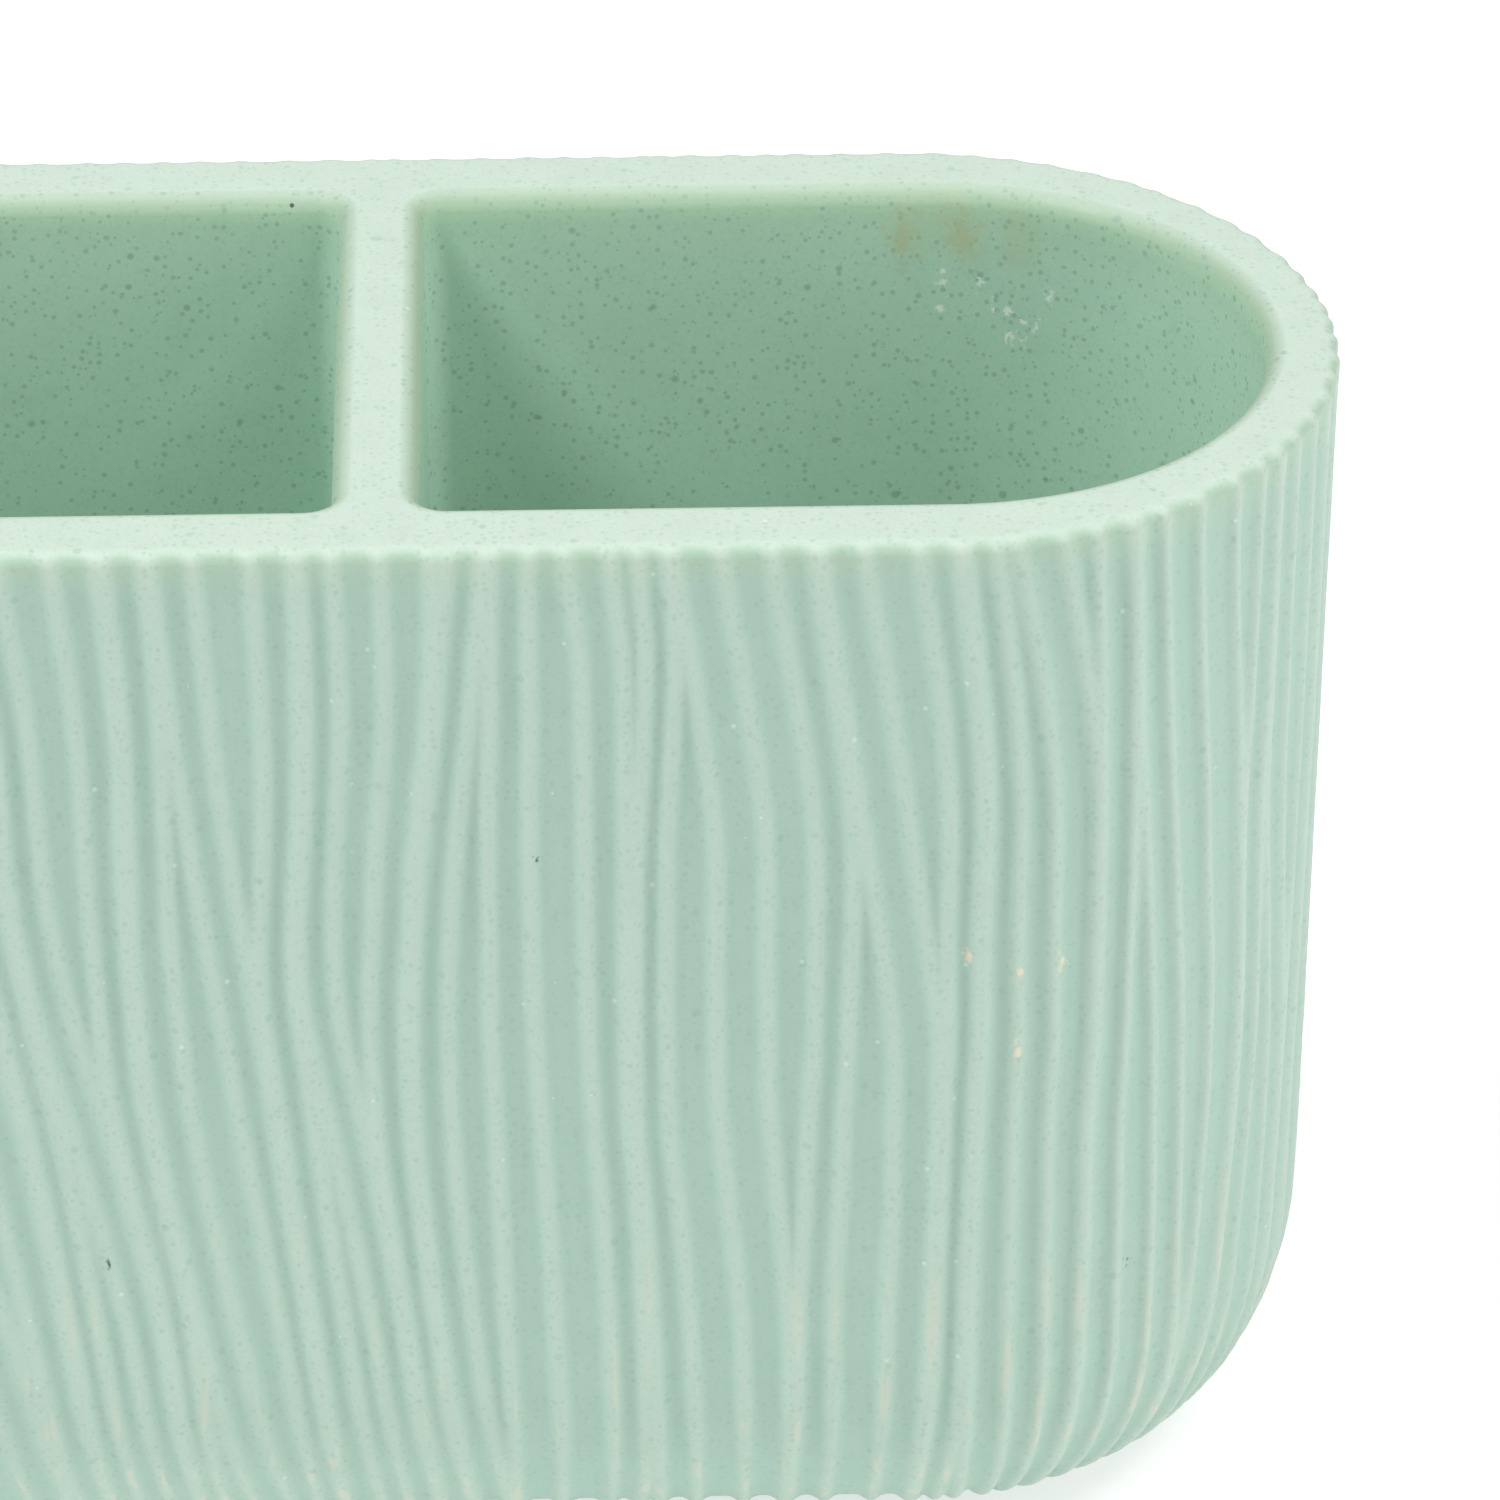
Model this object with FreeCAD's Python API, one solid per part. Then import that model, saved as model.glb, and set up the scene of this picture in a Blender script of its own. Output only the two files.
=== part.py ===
import FreeCAD, Part
import math
import os
import random
from collections import namedtuple

# Toothbrush holder in cast resin: an oblong cup with round ends, two compartments and a bark-like
# relief of upright ribs outside, standing on four foam pads. Millimetres, +Z up, +X along the cup,
# the origin on the table under the middle.

# Outside of the cup, measured over the crests of the ribs
LENGTH = 150.0
WIDTH = 66.8
BODY_HEIGHT = 95.4
DRAFT = 0.0125              # how far the wall leans in for each millimetre downwards
FOOT_INSET = 13.4           # the rounded foot draws in this far ...
FOOT_RISE = 21.0            # ... over this height
RIM_EDGE = 1.1              # round-over of the outer edge of the rim

# Compartments
SIDE_WALL = 7.6             # long walls at the rim, crest to compartment
END_WALL = 5.8              # the same at the middle of the round ends
DIVIDER = 6.6
FLOOR = 8.0
POCKET_CORNER = 2.2         # upright corners beside the divider
POCKET_BOTTOM_BEVEL = 2.0
RIM_INNER_ROUND = 1.6

# Bark relief: ribs that run down the wall, close up in pairs and part again
RIB_DEPTH = 0.7
RIB_CREST = 0.25            # half the width of a rib's crest
RIB_FLANK = 1.15            # from the edge of the crest to the bottom of the valley
RIM_SHARE = 0.4             # the ribs start this shallow at the rim ...
RIM_FADE = 5.0              # ... and are full this far below it
PANEL_WIDTH = 25.0          # stretches of the wall that the ribs keep to
VALLEYS_PER_PANEL = 10      # every second one closes up and opens again, the others only breathe
CLOSED_VALLEY = 0.5         # spacing of two ribs that have grown together
STEADY_RANGE = (2.5, 3.5)
STEADY_SWING = 0.15
CLOSING_RANGE = (2.6, 3.6)
CLOSING_SWING = 0.8
HALF_OPEN = 0.5             # how open a closing valley is on average
CROWDING = 1.8              # how readily valleys close where the grain draws the ribs together
WAVE_RANGE = (150.0, 240.0)     # height over which a valley opens and closes
PHASE_SPREAD = 0.5
PANEL_SWAY = 0.7
SWAY_WAVE = 130.0
RIB_SEED = 7
GRAIN_DRIFTS = (            # along the wall: place, reach, sideways drift, depth where it is complete
    (-42.0, 56.0, 17.0, 95.0),
    (42.0, 30.0, 6.0, 45.0),
)
RIM_STEPS = 2               # stages of the relief over the rim's edge, down the wall and in the foot
WALL_STEPS = 4
FOOT_STEPS = 4

# Foam pads under the base
PAD_DIAMETER = 12.0
PAD_THICK = 1.5
PAD_SPACING_X = 80.0
PAD_SPACING_Y = 20.0

END_RADIUS = WIDTH / 2
HALF_STRAIGHT = LENGTH / 2 - END_RADIUS
SIDE_RUN = 2 * HALF_STRAIGHT
END_RUN = math.pi * END_RADIUS
OUTLINE = 2 * (SIDE_RUN + END_RUN)
PANELS = round(OUTLINE / PANEL_WIDTH)
FOOT_TOP = BODY_HEIGHT - FOOT_RISE
BASE_Z = PAD_THICK
RIM_Z = BASE_Z + BODY_HEIGHT
TURN = 2 * math.pi
CLOSE = 1e-4                # heights and places that count as the same

Valley = namedtuple("Valley", "closes width wave phase")


def smooth(share):
    """Ease a share of the way from 0 to 1, held at both ends."""
    held = min(1.0, max(0.0, share))
    return held * held * (3 - 2 * held)


def wall_inset(depth):
    """How far the crests lie inside the outline, at a depth below the rim."""
    inset = DRAFT * depth
    if depth < RIM_EDGE:
        inset += RIM_EDGE * (1 - math.sqrt(1 - (1 - depth / RIM_EDGE) ** 2))
    into_foot = depth - FOOT_TOP
    if into_foot > 0:
        inset += FOOT_INSET * (1 - math.sqrt(max(0.0, 1 - (into_foot / FOOT_RISE) ** 2)))
    return inset


def outline_point(along, inset, depth):
    """Point of the wall, along the outline from the middle of the front, inset from it."""
    reach = END_RADIUS - inset
    z = RIM_Z - depth
    turn = (along + HALF_STRAIGHT) % OUTLINE
    half_way = SIDE_RUN + END_RUN
    side = 1 if turn < half_way else -1
    turn %= half_way
    if turn < SIDE_RUN:
        return FreeCAD.Vector(side * (turn - HALF_STRAIGHT), -side * reach, z)
    angle = (turn - SIDE_RUN) / END_RADIUS
    x = HALF_STRAIGHT + reach * math.sin(angle)
    return FreeCAD.Vector(side * x, -side * reach * math.cos(angle), z)


def grow_valleys():
    """Every valley's width and how it changes on the way down, panel by panel, and each panel's sway."""
    draw = random.Random(RIB_SEED)
    panels = []
    sways = []
    for _ in range(PANELS):
        wave = draw.uniform(*WAVE_RANGE)
        first = draw.uniform(0, TURN)
        valleys = []
        for number in range(VALLEYS_PER_PANEL):
            closes = number % 2 == 1
            width = draw.uniform(*(CLOSING_RANGE if closes else STEADY_RANGE))
            lag = 2 * TURN * number / VALLEYS_PER_PANEL + draw.uniform(-PHASE_SPREAD, PHASE_SPREAD)
            valleys.append(Valley(closes, width, wave, first + lag))
        panels.append(valleys)
        sways.append(draw.uniform(0, TURN))
    return panels, sways


def panel_edge(number, sways, depth):
    """Place of the rib between two panels: it leans with the grain and sways a little."""
    along = number * OUTLINE / PANELS - HALF_STRAIGHT
    half = OUTLINE / 2
    drift = PANEL_SWAY * math.sin(TURN * depth / SWAY_WAVE + sways[number % PANELS])
    for place, reach, shift, complete in GRAIN_DRIFTS:
        away = (along - place + half / 2) % half - half / 2
        if abs(away) < reach:
            drift += shift * math.cos(math.pi * away / reach / 2) ** 2 * min(1.0, depth / complete)
    return along + drift


def valley_width(valley, depth, crowding):
    """Width of a valley at a depth, before its panel is filled."""
    wave = math.sin(TURN * depth / valley.wave + valley.phase)
    if valley.closes:
        return CLOSED_VALLEY + valley.width * smooth(HALF_OPEN - crowding + CLOSING_SWING * wave)
    return valley.width * (1 + STEADY_SWING * wave)


def rib_section(panels, sways, depth):
    """Points of the ribbed wall at a depth below the rim: each rib's crest, then the valley after it."""
    crest_inset = wall_inset(depth)
    full_depth = RIB_DEPTH * (RIM_SHARE + (1 - RIM_SHARE) * smooth(depth / RIM_FADE))
    points = []
    for number, valleys in enumerate(panels):
        start = panel_edge(number, sways, depth)
        room = panel_edge(number + 1, sways, depth) - start
        crowding = CROWDING * (1 - room * PANELS / OUTLINE)
        widths = [valley_width(valley, depth, crowding) for valley in valleys]
        for share in widths:
            width = share * room / sum(widths)
            relief = full_depth * smooth((width / 2 - RIB_CREST) / RIB_FLANK)
            points.append(outline_point(start, crest_inset, depth))
            points.append(outline_point(start + width / 2, crest_inset + relief, depth))
            start += width
    return points


def flat_face(*corners):
    """Flat face with straight edges."""
    return Part.Face(Part.makePolygon(corners + corners[:1]))


def facet_pair(upper_left, upper_right, lower_left, lower_right):
    """Two flat facets in a four-cornered gap, split across its shorter diagonal."""
    falling = upper_left.distanceToPoint(lower_right)
    rising = lower_left.distanceToPoint(upper_right)
    if falling < rising:
        return [
            flat_face(upper_left, lower_right, upper_right),
            flat_face(upper_left, lower_left, lower_right),
        ]
    return [
        flat_face(upper_left, lower_left, upper_right),
        flat_face(upper_right, lower_left, lower_right),
    ]


def ribbed_block():
    """The cup before its compartments are cut: rim, ribbed wall and rounded foot in flat facets."""
    quarter = math.pi / 2
    depths = [RIM_EDGE * (1 - math.cos(quarter * step / RIM_STEPS)) for step in range(RIM_STEPS + 1)]
    for step in range(WALL_STEPS + 1):
        depths.append(RIM_FADE + (FOOT_TOP - RIM_FADE) * step / WALL_STEPS)
    for step in range(1, FOOT_STEPS + 1):
        depths.append(FOOT_TOP + FOOT_RISE * math.sin(quarter * step / FOOT_STEPS))
    panels, sways = grow_valleys()
    sections = [rib_section(panels, sways, depth) for depth in depths]
    facets = [flat_face(*sections[0]), flat_face(*sections[-1])]
    for upper, lower in zip(sections, sections[1:]):
        for here in range(len(upper)):
            facets += facet_pair(upper[here - 1], upper[here], lower[here - 1], lower[here])
    shell = Part.makeShell(facets)
    shell.sewShape()
    return Part.Solid(shell)


def pocket_outline():
    """Mouth of the compartment on the +X side: flat beside the divider, round at the outer end."""
    half_width = END_RADIUS - SIDE_WALL
    near = DIVIDER / 2
    round_x = LENGTH / 2 - END_WALL - half_width
    slant = POCKET_CORNER * (1 - math.cos(math.pi / 4))

    def at(x, y):
        return FreeCAD.Vector(x, y, RIM_Z)

    def corner(side):
        return Part.Arc(
            at(near + POCKET_CORNER, side * half_width),
            at(near + slant, side * (half_width - slant)),
            at(near, side * (half_width - POCKET_CORNER)),
        )

    def long_side(side):
        return Part.LineSegment(
            at(near + POCKET_CORNER, side * half_width), at(round_x, side * half_width)
        )

    divider_side = Part.LineSegment(
        at(near, half_width - POCKET_CORNER), at(near, POCKET_CORNER - half_width)
    )
    round_end = Part.Arc(
        at(round_x, -half_width), at(round_x + half_width, 0), at(round_x, half_width)
    )
    curves = [long_side(-1), round_end, long_side(1), corner(1), divider_side, corner(-1)]
    return Part.Wire(Part.__sortEdges__([curve.toShape() for curve in curves]))


def level_edges(shape, z):
    """Edges of a shape that lie at one height."""
    return [
        edge
        for edge in shape.Edges
        if all(abs(vertex.Z - z) < CLOSE for vertex in edge.Vertexes)
        and abs(edge.BoundBox.Center.z - z) < CLOSE
    ]


def pocket():
    """Space inside the +X compartment, with its bevelled bottom."""
    deep = BODY_HEIGHT - FLOOR
    space = Part.Face(pocket_outline()).extrude(FreeCAD.Vector(0, 0, -deep))
    return space.makeChamfer(POCKET_BOTTOM_BEVEL, level_edges(space, RIM_Z - deep))


def holder_body():
    """One casting: ribbed wall, floor and divider, with the inner edges of the rim rounded."""
    right = pocket()
    left = right.copy()
    left.rotate(FreeCAD.Vector(0, 0, 0), FreeCAD.Vector(0, 0, 1), 180)
    cup = ribbed_block().cut([right, left])
    mouths = Part.Compound(level_edges(right, RIM_Z) + level_edges(left, RIM_Z))
    rim = [
        edge
        for edge in level_edges(cup, RIM_Z)
        if edge.Vertexes[0].distToShape(mouths)[0] < CLOSE
    ]
    return cup.makeFillet(RIM_INNER_ROUND, rim)


def foot_pad(x, y):
    """Die-cut foam disc, stuck to the flat base."""
    return Part.makeCylinder(PAD_DIAMETER / 2, PAD_THICK, FreeCAD.Vector(x, y, 0))


def export(shape, node):
    """Write one piece as the STEP file that bears its name."""
    shape.exportStep("parts/" + node + ".step")


os.makedirs("parts", exist_ok=True)
export(holder_body(), "holder_body")
for end, x_side in (("left", -1), ("right", 1)):
    for face, y_side in (("front", -1), ("rear", 1)):
        pad = foot_pad(x_side * PAD_SPACING_X / 2, y_side * PAD_SPACING_Y / 2)
        export(pad, "foot_pad_" + face + "_" + end)
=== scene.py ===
import bmesh
import bpy
import math
import random
from collections import namedtuple
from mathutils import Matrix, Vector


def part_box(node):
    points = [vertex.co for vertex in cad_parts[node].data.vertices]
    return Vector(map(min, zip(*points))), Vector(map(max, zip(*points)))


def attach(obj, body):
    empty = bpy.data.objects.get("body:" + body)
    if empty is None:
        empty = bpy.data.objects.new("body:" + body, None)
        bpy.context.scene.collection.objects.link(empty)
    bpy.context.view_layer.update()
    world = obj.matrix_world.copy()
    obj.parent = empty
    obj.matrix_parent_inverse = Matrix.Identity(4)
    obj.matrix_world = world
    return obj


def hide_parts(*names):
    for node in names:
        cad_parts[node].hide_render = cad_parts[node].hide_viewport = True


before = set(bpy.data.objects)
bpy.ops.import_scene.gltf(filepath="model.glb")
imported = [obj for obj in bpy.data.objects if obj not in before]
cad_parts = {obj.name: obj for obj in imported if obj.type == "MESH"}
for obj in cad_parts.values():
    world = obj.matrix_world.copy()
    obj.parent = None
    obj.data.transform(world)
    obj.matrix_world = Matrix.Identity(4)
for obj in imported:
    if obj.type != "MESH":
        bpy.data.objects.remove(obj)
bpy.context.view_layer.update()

# Casting. One thick-walled cup of stone-filled resin, poured upside down into a rubber mould: two compartments
# with a solid divider between them, upright bark-like ribs all round, and a rim and a base that are ground flat.
# The ribs wander down the wall, close up in pairs and part again.

low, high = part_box("holder_body")
RIM_Z = high.z
BASE_Z = low.z
BODY_HEIGHT = RIM_Z - BASE_Z
LENGTH = 0.150
WIDTH = 0.0668
DRAFT = 0.0125              # how far the wall leans in for each metre downwards
FOOT_INSET = 0.0134         # the rounded foot draws in this far ...
FOOT_RISE = 0.021           # ... over this height
RIM_EDGE = 0.0011           # round-over of the outer edge of the rim

END_RADIUS = WIDTH / 2
HALF_STRAIGHT = LENGTH / 2 - END_RADIUS
SIDE_RUN = 2 * HALF_STRAIGHT
END_RUN = math.pi * END_RADIUS
OUTLINE = 2 * (SIDE_RUN + END_RUN)
FOOT_TOP = BODY_HEIGHT - FOOT_RISE

Ring = namedtuple("Ring", "inset z carve_in carve_up")


def outline_place(along, inset):
    """Point on the round-ended outline, along it from the middle of the front, and its outward direction."""
    reach = END_RADIUS - inset
    run = (along + HALF_STRAIGHT) % OUTLINE
    half_way = SIDE_RUN + END_RUN
    side = 1 if run < half_way else -1
    run %= half_way
    if run < SIDE_RUN:
        return (side * (run - HALF_STRAIGHT), -side * reach), (0, -side)
    angle = (run - SIDE_RUN) / END_RADIUS
    out = (side * math.sin(angle), -side * math.cos(angle))
    return (side * HALF_STRAIGHT + reach * out[0], reach * out[1]), out


RIM_STEPS = 6
WALL_STEPS = 42
FOOT_STEPS = 16
RIM_SUPPORT = ((0.0024, 0.0), (0.0012, 0.17), (0.0003, 0.34))     # how far inside the edge, share of the relief
RIM_SHARE = 0.40            # the ribs start this shallow at the rim ...
RIM_FADE = 0.0050           # ... and are full this far below it
BASE_SUPPORT = ((0.0012, 0.7), (0.0028, 0.3), (0.0050, 0.0))      # the same on the flat of the base


def smooth(share):
    """Ease a share of the way from 0 to 1, held at both ends."""
    held = min(1.0, max(0.0, share))
    return held * held * (3 - 2 * held)


def relief_share(depth):
    """How much of its full depth the relief has, this far below the rim."""
    return RIM_SHARE + (1 - RIM_SHARE) * smooth(depth / RIM_FADE)


def wall_rings():
    """Rings of the outside, from the flat of the rim over its edge and down to the flat of the base."""
    rings = [Ring(RIM_EDGE + back, RIM_Z, share, 0) for back, share in RIM_SUPPORT]
    for step in range(RIM_STEPS):
        turn = math.pi / 2 * step / RIM_STEPS
        depth = RIM_EDGE * (1 - math.cos(turn))
        rings.append(Ring(RIM_EDGE * (1 - math.sin(turn)), RIM_Z - depth, relief_share(depth), 0))
    for step in range(WALL_STEPS + 1):
        depth = RIM_EDGE + (FOOT_TOP - RIM_EDGE) * step / WALL_STEPS
        rings.append(Ring(DRAFT * depth, RIM_Z - depth, relief_share(depth), 0))
    for step in range(1, FOOT_STEPS + 1):
        turn = math.pi / 2 * step / FOOT_STEPS
        depth = FOOT_TOP + FOOT_RISE * math.sin(turn)
        level = math.cos(turn) / FOOT_INSET
        upright = math.sin(turn) / FOOT_RISE
        steep = math.hypot(level, upright)
        inset = DRAFT * depth + FOOT_INSET * (1 - math.cos(turn))
        rings.append(Ring(inset, RIM_Z - depth, level / steep, upright / steep))
    base_inset = rings[-1].inset
    return rings + [Ring(base_inset + back, BASE_Z, 0, share) for back, share in BASE_SUPPORT]


PANEL_WIDTH = 0.025         # stretches of the wall that the ribs keep to
VALLEYS_PER_PANEL = 10      # every second one closes up and opens again, the others only breathe
CLOSED_VALLEY = 0.0005      # spacing of two ribs that have grown together
STEADY_RANGE = (0.0025, 0.0035)
STEADY_SWING = 0.15
CLOSING_RANGE = (0.0026, 0.0036)
CLOSING_SWING = 0.8
HALF_OPEN = 0.5             # how open a closing valley is on average
CROWDING = 1.8              # how readily valleys close where the grain draws the ribs together
WAVE_RANGE = (0.150, 0.240)     # height over which a valley opens and closes
PHASE_SPREAD = 0.5
PHASE_TURNS = 2             # waves of closing valleys across a panel
PANEL_SWAY = 0.0007
SWAY_WAVE = 0.130
RIB_SEED = 7
GRAIN_DRIFTS = (            # along the wall: place, reach, sideways drift, depth where it is complete
    (-0.042, 0.056, 0.017, 0.095),
    (0.042, 0.030, 0.006, 0.045),
)
PANELS = round(OUTLINE / PANEL_WIDTH)
TURN = 2 * math.pi

Valley = namedtuple("Valley", "closes width wave phase")


def grow_valleys():
    """Every valley's width and how it changes on the way down, panel by panel, and each panel's sway."""
    draw = random.Random(RIB_SEED)
    panels = []
    sways = []
    for _ in range(PANELS):
        wave = draw.uniform(*WAVE_RANGE)
        first = draw.uniform(0, TURN)
        valleys = []
        for number in range(VALLEYS_PER_PANEL):
            closes = number % 2 == 1
            width = draw.uniform(*(CLOSING_RANGE if closes else STEADY_RANGE))
            phase = first + PHASE_TURNS * TURN * number / VALLEYS_PER_PANEL
            phase += draw.uniform(-PHASE_SPREAD, PHASE_SPREAD)
            valleys.append(Valley(closes, width, wave, phase))
        panels.append(valleys)
        sways.append(draw.uniform(0, TURN))
    return panels, sways


def panel_edge(number, sways, depth):
    """Place of the rib between two panels: it leans with the grain and sways a little."""
    along = number * OUTLINE / PANELS - HALF_STRAIGHT
    half = OUTLINE / 2
    drift = PANEL_SWAY * math.sin(TURN * depth / SWAY_WAVE + sways[number % PANELS])
    for place, reach, shift, complete in GRAIN_DRIFTS:
        away = (along - place + half / 2) % half - half / 2
        if abs(away) < reach:
            drift += shift * math.cos(math.pi * away / reach / 2) ** 2 * min(1.0, depth / complete)
    return along + drift


def valley_width(valley, depth, crowding):
    """Width of a valley at a depth, before its panel is filled."""
    wave = math.sin(TURN * depth / valley.wave + valley.phase)
    if valley.closes:
        return CLOSED_VALLEY + valley.width * smooth(HALF_OPEN - crowding + CLOSING_SWING * wave)
    return valley.width * (1 + STEADY_SWING * wave)


def crests_at(panels, sways, depth):
    """Places of all the ribs' crests along the outline, at a depth below the rim."""
    places = []
    for number, valleys in enumerate(panels):
        start = panel_edge(number, sways, depth)
        room = panel_edge(number + 1, sways, depth) - start
        crowding = CROWDING * (1 - room * PANELS / OUTLINE)
        widths = [valley_width(valley, depth, crowding) for valley in valleys]
        for width in widths:
            places.append(start)
            start += width * room / sum(widths)
    return places


def rib_lines(rings):
    """Curve object with one line down the smooth wall for every rib."""
    panels, sways = grow_valleys()
    rows = [crests_at(panels, sways, RIM_Z - ring.z) for ring in rings]
    curve = bpy.data.curves.new("rib_lines", "CURVE")
    curve.dimensions = "3D"
    for rib in range(PANELS * VALLEYS_PER_PANEL):
        line = curve.splines.new("POLY")
        line.points.add(len(rings) - 1)
        for ring, places, point in zip(rings, rows, line.points):
            (x, y), _ = outline_place(places[rib], ring.inset)
            point.co = (x, y, ring.z, 1)
    lines = bpy.data.objects.new("rib_lines", curve)
    bpy.context.scene.collection.objects.link(lines)
    return lines


SIDE_WALL = 0.0076          # long walls at the rim, crest to compartment
END_WALL = 0.0058           # the same at the middle of the round ends
DIVIDER = 0.0066
FLOOR = 0.008
POCKET_CORNER = 0.0022      # upright corners beside the divider
POCKET_BOTTOM_ROUND = 0.0020
RIM_INNER_ROUND = 0.0016
SUPPORT = 0.0003            # flat strip that keeps the shading level beside a rounded edge
HALF_POCKET = END_RADIUS - SIDE_WALL
POCKET_ROUND_X = LENGTH / 2 - END_WALL - HALF_POCKET
CORNER_STEPS = 12
POCKET_END_STEPS = 80
STRAIGHT_STEPS = 20
EDGE_STEPS = 8
POCKET_WALL_STEPS = 14


def pocket_outline(grow):
    """Outline of the +X compartment, grown outwards all round."""
    corner_x = DIVIDER / 2 + POCKET_CORNER
    corner_y = HALF_POCKET - POCKET_CORNER
    bends = (               # middle, radius, start and sweep in half turns, steps
        (POCKET_ROUND_X, 0.0, HALF_POCKET, -0.5, 1.0, POCKET_END_STEPS),
        (corner_x, corner_y, POCKET_CORNER, 0.5, 0.5, CORNER_STEPS),
        (corner_x, -corner_y, POCKET_CORNER, 1.0, 0.5, CORNER_STEPS),
    )
    arcs = []
    for x, y, radius, start, sweep, steps in bends:
        arc = []
        for step in range(steps + 1):
            turn = math.pi * (start + sweep * step / steps)
            arc.append((x + (radius + grow) * math.cos(turn), y + (radius + grow) * math.sin(turn)))
        arcs.append(arc)
    ring = []
    for arc, after in zip(arcs, arcs[1:] + arcs[:1]):
        ring += arc
        for step in range(1, STRAIGHT_STEPS):
            share = step / STRAIGHT_STEPS
            ring.append(tuple(a + (b - a) * share for a, b in zip(arc[-1], after[0])))
    return ring


def pocket_levels():
    """How far the compartment's outline is grown at each height, from the rim to the flat of its floor."""
    levels = [(RIM_INNER_ROUND + SUPPORT, RIM_Z)]
    for step in range(EDGE_STEPS + 1):
        turn = math.pi / 2 * step / EDGE_STEPS
        levels.append((RIM_INNER_ROUND * (1 - math.sin(turn)), RIM_Z - RIM_INNER_ROUND * (1 - math.cos(turn))))
    wall_top = RIM_Z - RIM_INNER_ROUND
    wall_foot = BASE_Z + FLOOR + POCKET_BOTTOM_ROUND
    for step in range(1, POCKET_WALL_STEPS + 1):
        levels.append((0.0, wall_top + (wall_foot - wall_top) * step / POCKET_WALL_STEPS))
    for step in range(1, EDGE_STEPS + 1):
        turn = math.pi / 2 * step / EDGE_STEPS
        drop = POCKET_BOTTOM_ROUND * math.sin(turn)
        levels.append((-POCKET_BOTTOM_ROUND * (1 - math.cos(turn)), wall_foot - drop))
    return levels


COLUMNS = 1152


def skin(shell, rings):
    """Four-sided faces between rings of points that follow each other."""
    for upper, lower in zip(rings, rings[1:]):
        for here in range(len(upper)):
            shell.faces.new((upper[here - 1], upper[here], lower[here], lower[here - 1]))


def fill(shell, *rings):
    """Flat faces inside a ring, or between a ring and the holes in it."""
    edges = [
        shell.edges.get((ring[here - 1], ring[here])) for ring in rings for here in range(len(ring))
    ]
    bmesh.ops.triangle_fill(shell, use_beauty=True, edges=edges)


def casting_blank(rings):
    """The cup with a smooth outside; carve holds which way, and how fully, the relief cuts in at each point."""
    shell = bmesh.new()
    carve = shell.verts.layers.float_vector.new("carve")
    inside = shell.verts.layers.float.new("inside")
    wall = []
    for ring in rings:
        points = []
        for column in range(COLUMNS):
            (x, y), out = outline_place(OUTLINE * column / COLUMNS, ring.inset)
            point = shell.verts.new((x, y, ring.z))
            point[carve] = (-out[0] * ring.carve_in, -out[1] * ring.carve_in, ring.carve_up)
            points.append(point)
        wall.append(points)
    skin(shell, wall)
    fill(shell, wall[-1])
    mouths = []
    for side in (1, -1):
        pocket = []
        for grow, z in pocket_levels():
            points = [shell.verts.new((side * x, side * y, z)) for x, y in pocket_outline(grow)]
            for point in points:
                point[inside] = 1.0 if z < RIM_Z else 0.0
            pocket.append(points)
        skin(shell, pocket)
        fill(shell, pocket[-1])
        mouths.append(pocket[0])
    fill(shell, wall[0], *mouths)
    bmesh.ops.recalc_face_normals(shell, faces=shell.faces)
    mesh = bpy.data.meshes.new("holder_casting")
    shell.to_mesh(mesh)
    shell.free()
    casting = bpy.data.objects.new("holder_casting", mesh)
    bpy.context.scene.collection.objects.link(casting)
    return casting


def put(tree, kind, inputs=(), **settings):
    """Place a node with its settings, and feed its inputs with values or with other nodes' sockets."""
    node = tree.nodes.new(kind)
    for name, value in settings.items():
        setattr(node, name, value)
    for key, value in dict(inputs).items():
        if isinstance(value, bpy.types.NodeSocket):
            tree.links.new(value, node.inputs[key])
        else:
            node.inputs[key].default_value = value
    return node


def calc(tree, operation, *values):
    """Result of a sum on numbers."""
    return put(tree, "ShaderNodeMath", enumerate(values), operation=operation).outputs[0]


def ease(tree, value, start, end, at_start=0.0, at_end=1.0):
    """A value eased from one number to another, and held outside them."""
    inputs = {0: value, 1: start, 2: end, 3: at_start, 4: at_end}
    return put(tree, "ShaderNodeMapRange", inputs, interpolation_type="SMOOTHSTEP").outputs[0]


def new_tree(name, sockets):
    """Geometry node tree with named inputs, its input node and the sockets' identifiers."""
    tree = bpy.data.node_groups.new(name, "GeometryNodeTree")
    tree.interface.new_socket(name="Geometry", in_out="INPUT", socket_type="NodeSocketGeometry")
    tree.interface.new_socket(name="Geometry", in_out="OUTPUT", socket_type="NodeSocketGeometry")
    keys = {}
    for label, kind in sockets.items():
        keys[label] = tree.interface.new_socket(
            name=label, in_out="INPUT", socket_type="NodeSocket" + kind
        ).identifier
    return tree, put(tree, "NodeGroupInput").outputs, keys


def end_tree(tree, geometry, material):
    """Close a tree the way every piece here ends: real geometry with its material."""
    real = put(tree, "GeometryNodeRealizeInstances", {"Geometry": geometry}).outputs[0]
    dressed = put(tree, "GeometryNodeSetMaterial", {"Geometry": real, "Material": material}).outputs[0]
    put(tree, "NodeGroupOutput", {"Geometry": dressed})


NOISE_MIDDLE = (0.5, 0.5, 0.5)


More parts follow.
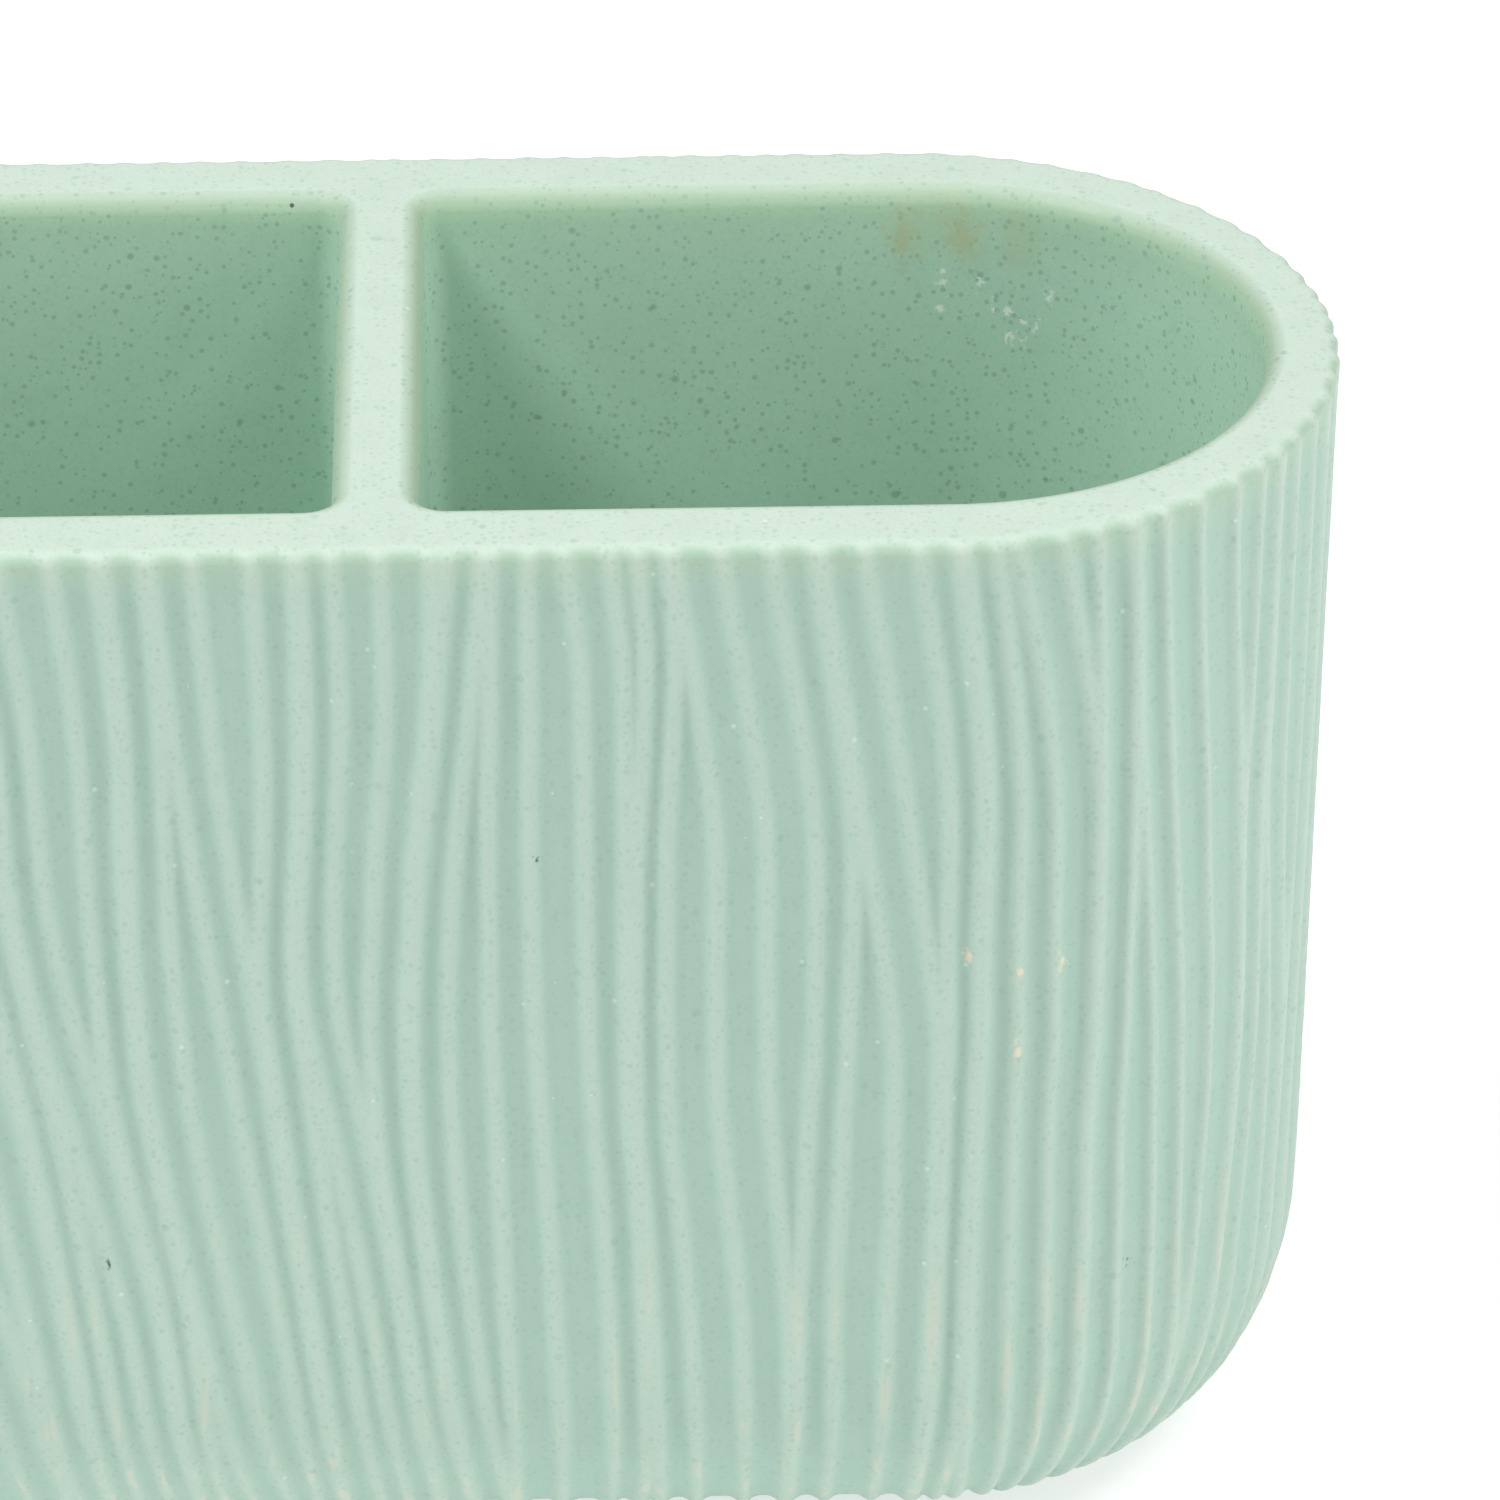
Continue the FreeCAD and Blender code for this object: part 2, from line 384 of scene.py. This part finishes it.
def bark_relief():
    """Node tree that cuts valleys between rib lines, along the carve directions stored on the blank."""
    tree, given, keys = new_tree("bark_relief", {
        "Rib Lines": "Object",
        "Valley Depth": "Float",
        "Crest Half Width": "Float",
        "Flank Width": "Float",
        "Wander": "Float",
        "Wander Length": "Float",
        "Unevenness": "Float",
        "Softening": "Int",
        "Seed": "Float",
        "Material": "Material",
    })
    lines = put(tree, "GeometryNodeObjectInfo", {"Object": given["Rib Lines"]}).outputs["Geometry"]
    edges = put(tree, "GeometryNodeCurveToMesh", {"Curve": lines}).outputs[0]
    place = put(tree, "GeometryNodeInputPosition").outputs[0]
    noise_scale = calc(tree, "DIVIDE", 1.0, given["Wander Length"])
    noise = put(
        tree, "ShaderNodeTexNoise",
        {"Vector": place, "W": given["Seed"], "Scale": noise_scale, "Detail": 1.0},
        noise_dimensions="4D",
    ).outputs
    middled = put(
        tree, "ShaderNodeVectorMath", {0: noise["Color"], 1: NOISE_MIDDLE}, operation="SUBTRACT"
    ).outputs[0]
    shift = put(
        tree, "ShaderNodeVectorMath", {0: middled, "Scale": given["Wander"]}, operation="SCALE"
    ).outputs[0]
    wandered = put(tree, "ShaderNodeVectorMath", {0: place, 1: shift}, operation="ADD").outputs[0]
    away = put(
        tree, "GeometryNodeProximity", {"Geometry": edges, "Sample Position": wandered}, target_element="EDGES"
    ).outputs["Distance"]
    flank_foot = calc(tree, "ADD", given["Crest Half Width"], given["Flank Width"])
    creased = ease(tree, away, given["Crest Half Width"], flank_foot)
    sunk = put(
        tree, "GeometryNodeBlurAttribute", {"Value": creased, "Iterations": given["Softening"]}, data_type="FLOAT"
    ).outputs[0]
    shallow = calc(tree, "MULTIPLY", noise["Fac"], given["Unevenness"])
    depth = calc(tree, "MULTIPLY", given["Valley Depth"], calc(tree, "SUBTRACT", 1.0, shallow))
    carve = put(
        tree, "GeometryNodeInputNamedAttribute", {"Name": "carve"}, data_type="FLOAT_VECTOR"
    ).outputs[0]
    cut = put(
        tree, "ShaderNodeVectorMath", {0: carve, "Scale": calc(tree, "MULTIPLY", depth, sunk)}, operation="SCALE"
    ).outputs[0]
    rib_height = calc(tree, "SUBTRACT", 1.0, sunk)
    marked = put(
        tree, "GeometryNodeStoreNamedAttribute",
        {"Geometry": given["Geometry"], "Name": "rib_height", "Value": rib_height},
        data_type="FLOAT", domain="POINT",
    ).outputs[0]
    carved = put(tree, "GeometryNodeSetPosition", {"Geometry": marked, "Offset": cut}).outputs[0]
    rounded = put(tree, "GeometryNodeSetShadeSmooth", {"Geometry": carved, "Shade Smooth": True}).outputs[0]
    end_tree(tree, rounded, given["Material"])
    return tree, keys


def shape_with(piece, name, tree_and_keys, **values):
    """Run a node tree on a piece, with its named inputs, and keep the result as the piece's plain mesh."""
    tree, keys = tree_and_keys
    modifier = piece.modifiers.new(name, "NODES")
    modifier.node_group = tree
    for label, value in values.items():
        modifier[keys[label.replace("_", " ")]] = value
    bpy.context.view_layer.update()
    depsgraph = bpy.context.evaluated_depsgraph_get()
    made = bpy.data.meshes.new_from_object(
        piece.evaluated_get(depsgraph), preserve_all_data_layers=True, depsgraph=depsgraph
    )
    piece.modifiers.remove(modifier)
    made.name = piece.name
    piece.data = made
    return piece


# Finish of the casting: matt mint resin with fine dark filler grains and pores, more of them inside than outside,
# a rim paler partly from grinding and partly by painted highlight, painted shade in the valleys and deep in the
# compartments, a painted yellow-green glow and painted shade at the rim's edges, and the marks of use that the
# piece shows.

Mottle = namedtuple("Mottle", "size detail start end weight")
Flecks = namedtuple("Flecks", "spacing radius share weight")
Marks = namedtuple("Marks", "reach weight places")

RESIN = (0.470, 0.690, 0.553, 1)
# Valleys darker than crests: partly a wash of pigment, partly painted shade in the creases.
VALLEY_TINT_AND_SHADE = (0.362, 0.530, 0.447, 1)
RESIN_CREST = (0.446, 0.583, 0.500, 1)
# Rim top paler: partly the ground finish, partly a painted highlight where the top light falls.
RIM_GROUND_AND_HIGHLIGHT = (0.505, 0.618, 0.538, 1)
RESIN_BASE = (0.404, 0.558, 0.474, 1)
# Painted yellow-green glow at the top of the outside wall, where light comes through the thin rim; lighter on the
# crests.
LIP_GLOW_CREST = (0.480, 0.598, 0.505, 1)
LIP_GLOW_VALLEY = (0.370, 0.522, 0.404, 1)
LIP_GLOW_DEPTHS = (0.0008, 0.0040)       # below the rim, where the painted glow at the top of the outside wall gives way to the wall's colours
RIM_ROOTS = (0.03, 0.24)            # the same for the rim's paler colour, ground finish and painted highlight, by the root of the depth in centimetres
BASE_HEIGHTS = (0.0001, 0.0008)     # above the base, where its plain colour gives way to the ribs
CENTIMETRES = 100.0                 # in a metre
LIP_GLOW_AND_SHADE = (                       # painted shade on the rounded inner edge, then a painted yellow-green glow below it, from the rim down into a compartment, by the root of the depth in centimetres
    (0.00, RIM_GROUND_AND_HIGHLIGHT),
    (0.07, (0.446, 0.560, 0.462, 1)),
    (0.21, (0.370, 0.496, 0.370, 1)),
    (0.28, (0.378, 0.525, 0.378, 1)),
    (0.41, (0.495, 0.705, 0.515, 1)),
    (0.52, (0.442, 0.655, 0.495, 1)),
    (0.85, RESIN),
)
SHADE_INSIDE = (0.370, 0.560, 0.430, 1)
SHADE_ROOTS = (0.3, 0.6)            # the shade starts below the lip
SHADE = Mottle(size=0.014, detail=2.0, start=0.35, end=0.75, weight=0.20)

GRAIN_DARK = (0.255, 0.405, 0.320, 1)
CHALK = (0.720, 0.790, 0.720, 1)
PIN_DARK = (0.060, 0.110, 0.095, 1)
FINE_GRAIN = Mottle(size=0.00035, detail=1.0, start=0.48, end=0.75, weight=0.15)
CLOUDING = Mottle(size=0.0020, detail=2.0, start=0.45, end=0.75, weight=0.06)
FILLER = Flecks(spacing=0.0007, radius=0.00030, share=0.9, weight=0.55)
PORES = Flecks(spacing=0.0022, radius=0.00046, share=0.7, weight=0.65)
CHALK_GRAINS = Flecks(spacing=0.0030, radius=0.00028, share=0.3, weight=0.4)
PINHOLES = Flecks(spacing=0.012, radius=0.0004, share=0.3, weight=1.0)
SHOWS_OUTSIDE = 0.50                # how strongly filler and pores show on the outside

STAIN_TAN = (0.490, 0.520, 0.300, 1)
SCUFF_PALE = (0.800, 0.860, 0.800, 1)
FLECK_TAN = (0.680, 0.640, 0.470, 1)
FAINT_STAINS = Marks(reach=0.0026, weight=0.25, places=(
    (0.0460, 0.0257, 0.0935), (0.0474, 0.0255, 0.0924), (0.0515, 0.0244, 0.0929), (0.0427, 0.0258, 0.0930),
))
STAINS = Marks(reach=0.0018, weight=0.55, places=((0.0419, 0.0258, 0.0924), (0.0467, 0.0256, 0.0929)))
SCUFFS = Marks(reach=0.0006, weight=1.0, places=(
    (0.0455, 0.0257, 0.0893), (0.0453, 0.0257, 0.0877), (0.0451, 0.0257, 0.0862), (0.0483, 0.0253, 0.0890),
    (0.0492, 0.0251, 0.0864), (0.0505, 0.0248, 0.0863), (0.0518, 0.0244, 0.0857), (0.0530, 0.0239, 0.0853),
    (0.0539, 0.0236, 0.0882), (0.0507, 0.0248, 0.0839), (0.0517, 0.0244, 0.0841),
))
TAN_FLECKS = Marks(reach=0.0005, weight=1.0, places=(
    (0.0449, -0.0326, 0.0602), (0.0488, -0.0319, 0.0585), (0.0522, -0.0310, 0.0587), (0.0488, -0.0318, 0.0513),
))
PINS = Marks(reach=0.0003, weight=1.0, places=(
    (0.0118, -0.0329, 0.0696), (-0.0221, -0.0324, 0.0330), (0.0581, -0.0279, 0.0287),
))
MARK_SHAPE = (1.0, 0.15, 0.6)       # marks are taller than wide, and follow the ribs in and out
MARK_CORE = 0.2                     # share of a mark's reach that is at full strength
FLAKES = Mottle(size=0.0005, detail=2.0, start=0.48, end=0.56, weight=1.0)
RAGGED_SIZE = 0.0008
RAGGED_DETAIL = 3.0
RAGGED_RANGE = (0.5, 2.0)           # a mark's edge wanders between these shares of its distance

WEAR_PALE = (0.560, 0.590, 0.480, 1)
WEAR_HEIGHTS = (0.045, 0.008)       # above the base, where wear starts and where it is complete
WEAR_CREST = (0.55, 0.80)           # only the tops of the ribs are worn
STREAK_SHAPE = (1.0, 1.0, 0.12)
STREAKS = Mottle(size=0.0013, detail=2.0, start=0.54, end=0.68, weight=0.7)

NOISE_BAND = (0.3, 0.7)             # most of a noise lies between these
ROUGHNESS = (0.50, 0.64)
ROUGHNESS_SIZE = 0.003
GRAIN_RELIEF = 0.00005
GRAIN_STRENGTH = 0.15


def times(tree, product, *factors):
    """Masks and numbers multiplied together."""
    for factor in factors:
        product = calc(tree, "MULTIPLY", product, factor)
    return product


def fleck_group():
    """Node group: round flecks of uneven size scattered through a material, as a mask."""
    group = bpy.data.node_groups.new("flecks", "ShaderNodeTree")
    for label, kind in (("Vector", "Vector"), ("Spacing", "Float"), ("Radius", "Float"), ("Share", "Float")):
        group.interface.new_socket(name=label, in_out="INPUT", socket_type="NodeSocket" + kind)
    group.interface.new_socket(name="Mask", in_out="OUTPUT", socket_type="NodeSocketFloat")
    given = put(group, "NodeGroupInput").outputs
    cells = put(
        group, "ShaderNodeTexVoronoi",
        {"Vector": given["Vector"], "Scale": calc(group, "DIVIDE", 1.0, given["Spacing"])},
    ).outputs
    chance = put(group, "ShaderNodeSeparateColor", {0: cells["Color"]}).outputs
    away = times(group, cells["Distance"], given["Spacing"])
    smallest, soft_from = 0.4, 0.5      # of the largest radius, and of a fleck's own
    radius = times(group, given["Radius"], ease(group, chance[0], 0.0, 1.0, smallest, 1.0))
    dot = ease(group, away, times(group, radius, soft_from), radius, 1.0, 0.0)
    present = calc(group, "LESS_THAN", chance[1], given["Share"])
    put(group, "NodeGroupOutput", {"Mask": times(group, dot, present)})
    return group


FLECK_GROUP = fleck_group()


def fleck_mask(tree, coords, flecks):
    """Mask of scattered flecks: distance between them, largest radius and how many of the places are taken."""
    inputs = {"Vector": coords, "Spacing": flecks.spacing, "Radius": flecks.radius, "Share": flecks.share}
    return put(tree, "ShaderNodeGroup", inputs, node_tree=FLECK_GROUP).outputs["Mask"]


def cloud(tree, coords, size, detail=2.0):
    """Soft noise whose lumps are about one size across."""
    return put(
        tree, "ShaderNodeTexNoise", {"Vector": coords, "Scale": 1.0 / size, "Detail": detail}
    ).outputs["Fac"]


def patches(tree, coords, mottle):
    """Mask of soft uneven patches, where a noise rises above a level."""
    noise = cloud(tree, coords, mottle.size, mottle.detail)
    return ease(tree, noise, mottle.start, mottle.end, 0.0, mottle.weight)


def over(tree, mask, below, above):
    """One colour laid over another by a mask."""
    return put(tree, "ShaderNodeMix", {0: mask, 6: below, 7: above}, data_type="RGBA").outputs[2]


def tones(tree, value, stops):
    """Colour that changes with a value, from stop to stop."""
    node = put(tree, "ShaderNodeValToRGB", {0: value})
    elements = node.color_ramp.elements
    elements.remove(elements[1])
    elements[0].position, elements[0].color = stops[0]
    for place, colour in stops[1:]:
        elements.new(place).color = colour
    return node.outputs["Color"]


def stretched(tree, coords, shape):
    """Coordinates drawn out or pressed together along the axes."""
    return put(tree, "ShaderNodeVectorMath", {0: coords, 1: shape}, operation="MULTIPLY").outputs[0]


def spots(tree, coords, marks, roughen):
    """Mask of ragged spots at given places on the front or the back."""
    flat = stretched(tree, coords, MARK_SHAPE)
    found = None
    for place in marks.places:
        middle = tuple(a * b for a, b in zip(place, MARK_SHAPE))
        away = put(tree, "ShaderNodeVectorMath", {0: flat, 1: middle}, operation="DISTANCE").outputs["Value"]
        found = away if found is None else calc(tree, "MINIMUM", found, away)
    return ease(tree, times(tree, found, roughen), MARK_CORE * marks.reach, marks.reach, marks.weight, 0.0)


def plain_colours(tree, coords, height, rib_height, inside):
    """Colours of the resin: ribs, rim and base outside, with painted shade in the valleys, a rim paler partly from
    grinding and partly by painted highlight, and a painted glow under the rim's edge; inside, painted shade and
    painted glow at the lip and patches of painted shade deeper in the compartments.
    """
    drop = calc(tree, "SUBTRACT", RIM_Z, height)
    root = calc(tree, "SQRT", times(tree, calc(tree, "MAXIMUM", drop, 0.0), CENTIMETRES))
    # darker in the valleys: partly a pigment wash, partly painted shade in the creases
    wall = over(tree, rib_height, VALLEY_TINT_AND_SHADE, RESIN_CREST)
    # painted glow at the top of the outer wall, where light comes through the thin rim
    lip_glow = over(tree, rib_height, LIP_GLOW_VALLEY, LIP_GLOW_CREST)
    wall = over(tree, ease(tree, drop, *LIP_GLOW_DEPTHS, 1.0, 0.0), wall, lip_glow)
    # paler rim: partly the ground finish, partly painted highlight from the top light
    wall = over(tree, ease(tree, root, *RIM_ROOTS, 1.0, 0.0), wall, RIM_GROUND_AND_HIGHLIGHT)
    above_base = calc(tree, "SUBTRACT", height, BASE_Z)
    wall = over(tree, ease(tree, above_base, *BASE_HEIGHTS, 1.0, 0.0), wall, RESIN_BASE)
    shaded = times(tree, patches(tree, coords, SHADE), ease(tree, root, *SHADE_ROOTS))
    # inside: painted shade on the rounded edge and painted glow below it, then patches of painted shade deeper
    # down
    pocket = over(tree, shaded, tones(tree, root, LIP_GLOW_AND_SHADE), SHADE_INSIDE)
    return over(tree, inside, wall, pocket)


def with_grains(tree, coords, inside, pores, colour):
    """The resin's filler, pores, chalky grains and pinholes laid over its colour."""
    colour = over(tree, patches(tree, coords, FINE_GRAIN), colour, GRAIN_DARK)
    colour = over(tree, patches(tree, coords, CLOUDING), colour, GRAIN_DARK)
    shows = ease(tree, inside, 0.0, 1.0, SHOWS_OUTSIDE, 1.0)
    filler = times(tree, fleck_mask(tree, coords, FILLER), FILLER.weight)
    colour = over(tree, times(tree, filler, shows), colour, GRAIN_DARK)
    colour = over(tree, times(tree, pores, shows), colour, GRAIN_DARK)
    chalk = times(tree, fleck_mask(tree, coords, CHALK_GRAINS), CHALK_GRAINS.weight)
    colour = over(tree, chalk, colour, CHALK)
    pinholes = times(tree, fleck_mask(tree, coords, PINHOLES), PINHOLES.weight)
    return over(tree, times(tree, pinholes, inside), colour, PIN_DARK)


def with_marks(tree, coords, inside, colour):
    """Stains and scuffs inside, and tan flecks and dark pins on the front, laid over a colour."""
    ragged = ease(tree, cloud(tree, coords, RAGGED_SIZE, RAGGED_DETAIL), *NOISE_BAND, *RAGGED_RANGE)
    colour = over(tree, times(tree, spots(tree, coords, FAINT_STAINS, 1.0), inside), colour, STAIN_TAN)
    colour = over(tree, times(tree, spots(tree, coords, STAINS, ragged), inside), colour, STAIN_TAN)
    scuffs = times(tree, spots(tree, coords, SCUFFS, ragged), patches(tree, coords, FLAKES))
    colour = over(tree, scuffs, colour, SCUFF_PALE)
    colour = over(tree, spots(tree, coords, TAN_FLECKS, ragged), colour, FLECK_TAN)
    return over(tree, spots(tree, coords, PINS, ragged), colour, PIN_DARK)


def with_wear(tree, coords, height, rib_height, inside, colour):
    """Pale streaks on the tops of the ribs, low down where the piece is handled and set down."""
    streaks = patches(tree, stretched(tree, coords, STREAK_SHAPE), STREAKS)
    low_down = ease(tree, calc(tree, "SUBTRACT", height, BASE_Z), *WEAR_HEIGHTS)
    outside = calc(tree, "SUBTRACT", 1.0, inside)
    worn = times(tree, ease(tree, rib_height, *WEAR_CREST), low_down, outside, streaks)
    return over(tree, worn, colour, WEAR_PALE)


def cast_resin():
    """Matt speckled resin."""
    material = bpy.data.materials.new("cast_resin")
    material.use_nodes = True
    tree = material.node_tree
    shader = tree.nodes["Principled BSDF"]
    coords = put(tree, "ShaderNodeTexCoord").outputs["Object"]
    height = put(tree, "ShaderNodeSeparateXYZ", {0: coords}).outputs["Z"]
    rib_height = put(tree, "ShaderNodeAttribute", attribute_name="rib_height").outputs["Fac"]
    inside = put(tree, "ShaderNodeAttribute", attribute_name="inside").outputs["Fac"]
    pores = times(tree, fleck_mask(tree, coords, PORES), PORES.weight)

    colour = plain_colours(tree, coords, height, rib_height, inside)
    colour = with_grains(tree, coords, inside, pores, colour)
    colour = with_marks(tree, coords, inside, colour)
    colour = with_wear(tree, coords, height, rib_height, inside, colour)
    tree.links.new(colour, shader.inputs["Base Color"])

    uneven = ease(tree, cloud(tree, coords, ROUGHNESS_SIZE), *NOISE_BAND, *ROUGHNESS)
    tree.links.new(uneven, shader.inputs["Roughness"])
    grain = cloud(tree, coords, FINE_GRAIN.size, FINE_GRAIN.detail)
    bump = put(
        tree, "ShaderNodeBump",
        {"Strength": GRAIN_STRENGTH, "Distance": GRAIN_RELIEF, "Height": calc(tree, "SUBTRACT", grain, pores)},
    ).outputs[0]
    tree.links.new(bump, shader.inputs["Normal"])
    return material


rings = wall_rings()
lines = rib_lines(rings)
casting = shape_with(
    casting_blank(rings), "Bark ribs", bark_relief(),
    Rib_Lines=lines,
    Valley_Depth=0.00077,
    Crest_Half_Width=0.00015,
    Flank_Width=0.00075,
    Wander=0.0006,
    Wander_Length=0.009,
    Unevenness=0.30,
    Softening=2,
    Seed=4.0,
    Material=cast_resin(),
)
bpy.data.objects.remove(lines)
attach(casting, "root")
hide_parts("holder_body")

# Foam pads. Four die-cut discs of closed-cell foam, stuck under the flat base so that the cup neither slides
# nor scratches; the cut edge bulges a little under the cup's weight and shows the cells.

FOAM = (0.72, 0.72, 0.68, 1)
FOAM_CELL = (0.46, 0.46, 0.43, 1)
FOAM_CELLS = Flecks(spacing=0.0005, radius=0.00026, share=0.9, weight=0.6)
FOAM_ROUGHNESS = 0.85
FOAM_RELIEF = 0.0002
FOAM_STRENGTH = 0.6
PAD_SIDES = 96
PAD_STEPS = 8
PAD_EDGE_BAND = (0.9, 1.0)          # shares of the radius between which the cut edge starts to bulge
PAD_BULGE_POWER = 3.0               # the bulge is flat in the middle of the edge and quick at its ends


def foam():
    """Closed-cell foam with its cells cut open at the skin."""
    material = bpy.data.materials.new("pad_foam")
    material.use_nodes = True
    tree = material.node_tree
    shader = tree.nodes["Principled BSDF"]
    coords = put(tree, "ShaderNodeTexCoord").outputs["Object"]
    cells = fleck_mask(tree, coords, FOAM_CELLS)
    colour = over(tree, times(tree, cells, FOAM_CELLS.weight), FOAM, FOAM_CELL)
    tree.links.new(colour, shader.inputs["Base Color"])
    shader.inputs["Roughness"].default_value = FOAM_ROUGHNESS
    bump = put(
        tree, "ShaderNodeBump",
        {"Strength": FOAM_STRENGTH, "Distance": FOAM_RELIEF, "Height": calc(tree, "SUBTRACT", 1.0, cells)},
    ).outputs[0]
    tree.links.new(bump, shader.inputs["Normal"])
    return material


def pad_disc():
    """Node tree for one pad: a disc whose cut edge bulges between its two flat faces."""
    tree, given, keys = new_tree("pad_disc", {
        "Centre": "Vector",
        "Radius": "Float",
        "Thickness": "Float",
        "Bulge": "Float",
        "Cell Size": "Float",
        "Cell Depth": "Float",
        "Material": "Material",
    })
    disc = put(
        tree, "GeometryNodeMeshCylinder",
        {"Vertices": PAD_SIDES, "Side Segments": PAD_STEPS, "Fill Segments": PAD_STEPS,
         "Radius": given["Radius"], "Depth": given["Thickness"]},
    ).outputs["Mesh"]
    place = put(tree, "GeometryNodeInputPosition").outputs[0]
    axes = put(tree, "ShaderNodeSeparateXYZ", {0: place}).outputs
    half = times(tree, given["Thickness"], 0.5)
    from_middle = calc(tree, "DIVIDE", calc(tree, "ABSOLUTE", axes["Z"]), half)
    flat = put(tree, "ShaderNodeCombineXYZ", {0: axes["X"], 1: axes["Y"]}).outputs[0]
    out = put(tree, "ShaderNodeVectorMath", {0: flat}, operation="NORMALIZE").outputs[0]
    reach = put(tree, "ShaderNodeVectorMath", {0: flat}, operation="LENGTH").outputs["Value"]
    at_edge = ease(tree, calc(tree, "DIVIDE", reach, given["Radius"]), *PAD_EDGE_BAND)
    drawn_in = times(tree, calc(tree, "POWER", from_middle, PAD_BULGE_POWER), given["Bulge"])
    cells = put(
        tree, "ShaderNodeTexNoise", {"Vector": place, "Scale": calc(tree, "DIVIDE", 1.0, given["Cell Size"])}
    ).outputs["Fac"]
    dents = times(tree, cells, given["Cell Depth"])
    inwards = times(tree, calc(tree, "ADD", drawn_in, dents), at_edge, -1.0)
    offset = put(tree, "ShaderNodeVectorMath", {0: out, "Scale": inwards}, operation="SCALE").outputs[0]
    cut = put(tree, "GeometryNodeSetPosition", {"Geometry": disc, "Offset": offset}).outputs[0]
    seated = put(tree, "GeometryNodeTransform", {"Geometry": cut, "Translation": given["Centre"]}).outputs[0]
    end_tree(tree, seated, given["Material"])
    return tree, keys


disc_tree = pad_disc()
pad_foam = foam()
for node in sorted(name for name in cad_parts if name.startswith("foot_pad")):
    low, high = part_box(node)
    pad = bpy.data.objects.new(node.replace("foot_pad", "foam_pad"), bpy.data.meshes.new(node))
    bpy.context.scene.collection.objects.link(pad)
    shape_with(
        pad, "Die-cut disc", disc_tree,
        Centre=(low + high) / 2,
        Radius=(high.x - low.x) / 2,
        Thickness=high.z - low.z,
        Bulge=0.00025,
        Cell_Size=0.0006,
        Cell_Depth=0.00012,
        Material=pad_foam,
    )
    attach(pad, "root")
    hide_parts(node)

# Stand for the picture: a pale seamless floor, two high softboxes and two low ones, faint light all round,
# and a camera that looks down on the front and the right end.

FLOOR_PALE = (0.60, 0.60, 0.60, 1)
FLOOR_GLOW = 0.90           # the paper is lit from below as well
FLOOR_ROUGHNESS = 0.9
FLOOR_SIDE = 8.0

floor_mesh = bpy.data.meshes.new("floor")
corners = ((-1, -1), (1, -1), (1, 1), (-1, 1))
floor_mesh.from_pydata([(x * FLOOR_SIDE / 2, y * FLOOR_SIDE / 2, 0) for x, y in corners], [], [(0, 1, 2, 3)])
floor = bpy.data.objects.new("floor", floor_mesh)
bpy.context.scene.collection.objects.link(floor)
paper = bpy.data.materials.new("floor_paper")
paper.use_nodes = True
paper_look = {
    "Base Color": FLOOR_PALE,
    "Roughness": FLOOR_ROUGHNESS,
    "Specular IOR Level": 0.0,
    "Emission Color": FLOOR_PALE,
    "Emission Strength": FLOOR_GLOW,
}
for socket, value in paper_look.items():
    paper.node_tree.nodes["Principled BSDF"].inputs[socket].default_value = value
floor_mesh.materials.append(paper)

SKY_STRENGTH = 0.30
AIM = (0.0, 0.0, 0.05)
SOFTBOXES = (               # name, place, side, power in watts, colour
    ("high_left_softbox", (-0.60, -0.25, 1.15), 0.35, 11.0, (1.0, 1.0, 1.0)),
    ("high_right_softbox", (0.60, -0.25, 1.15), 0.4, 6.5, (1.0, 0.98, 0.97)),
    ("left_softbox", (-1.2, -0.5, 0.6), 0.9, 2.5, (1.0, 1.0, 1.0)),
    ("right_softbox", (1.2, -0.5, 0.6), 0.9, 5.9, (1.0, 0.94, 0.93)),
)

world = bpy.data.worlds.new("studio")
world.use_nodes = True
world.node_tree.nodes["Background"].inputs["Color"].default_value = (1, 1, 1, 1)
world.node_tree.nodes["Background"].inputs["Strength"].default_value = SKY_STRENGTH
bpy.context.scene.world = world
bpy.context.scene.view_settings.view_transform = "Standard"

for name, place, side, watts, tint in SOFTBOXES:
    lamp = bpy.data.lights.new(name, "AREA")
    lamp.size = side
    lamp.energy = watts
    lamp.color = tint
    softbox = bpy.data.objects.new(name, lamp)
    softbox.location = place
    towards = [a - b for a, b in zip(AIM, place)]
    softbox.rotation_euler = (
        math.atan2(math.hypot(towards[0], towards[1]), -towards[2]), 0, math.atan2(-towards[0], towards[1])
    )
    bpy.context.scene.collection.objects.link(softbox)

EYE = (0.01261, -0.5757, 0.3978)
LOOK_DOWN = 0.5306          # radians below level
HEADING = 0.0284            # radians from straight ahead towards +X
LENS = 200                  # millimetres, with the sensor below
SENSOR = 36

camera = bpy.data.objects.new("camera", bpy.data.cameras.new("camera"))
camera.data.lens = LENS
camera.data.sensor_width = SENSOR
camera.location = EYE
camera.rotation_euler = (math.pi / 2 - LOOK_DOWN, 0, -HEADING)
bpy.context.scene.collection.objects.link(camera)
bpy.context.scene.camera = camera
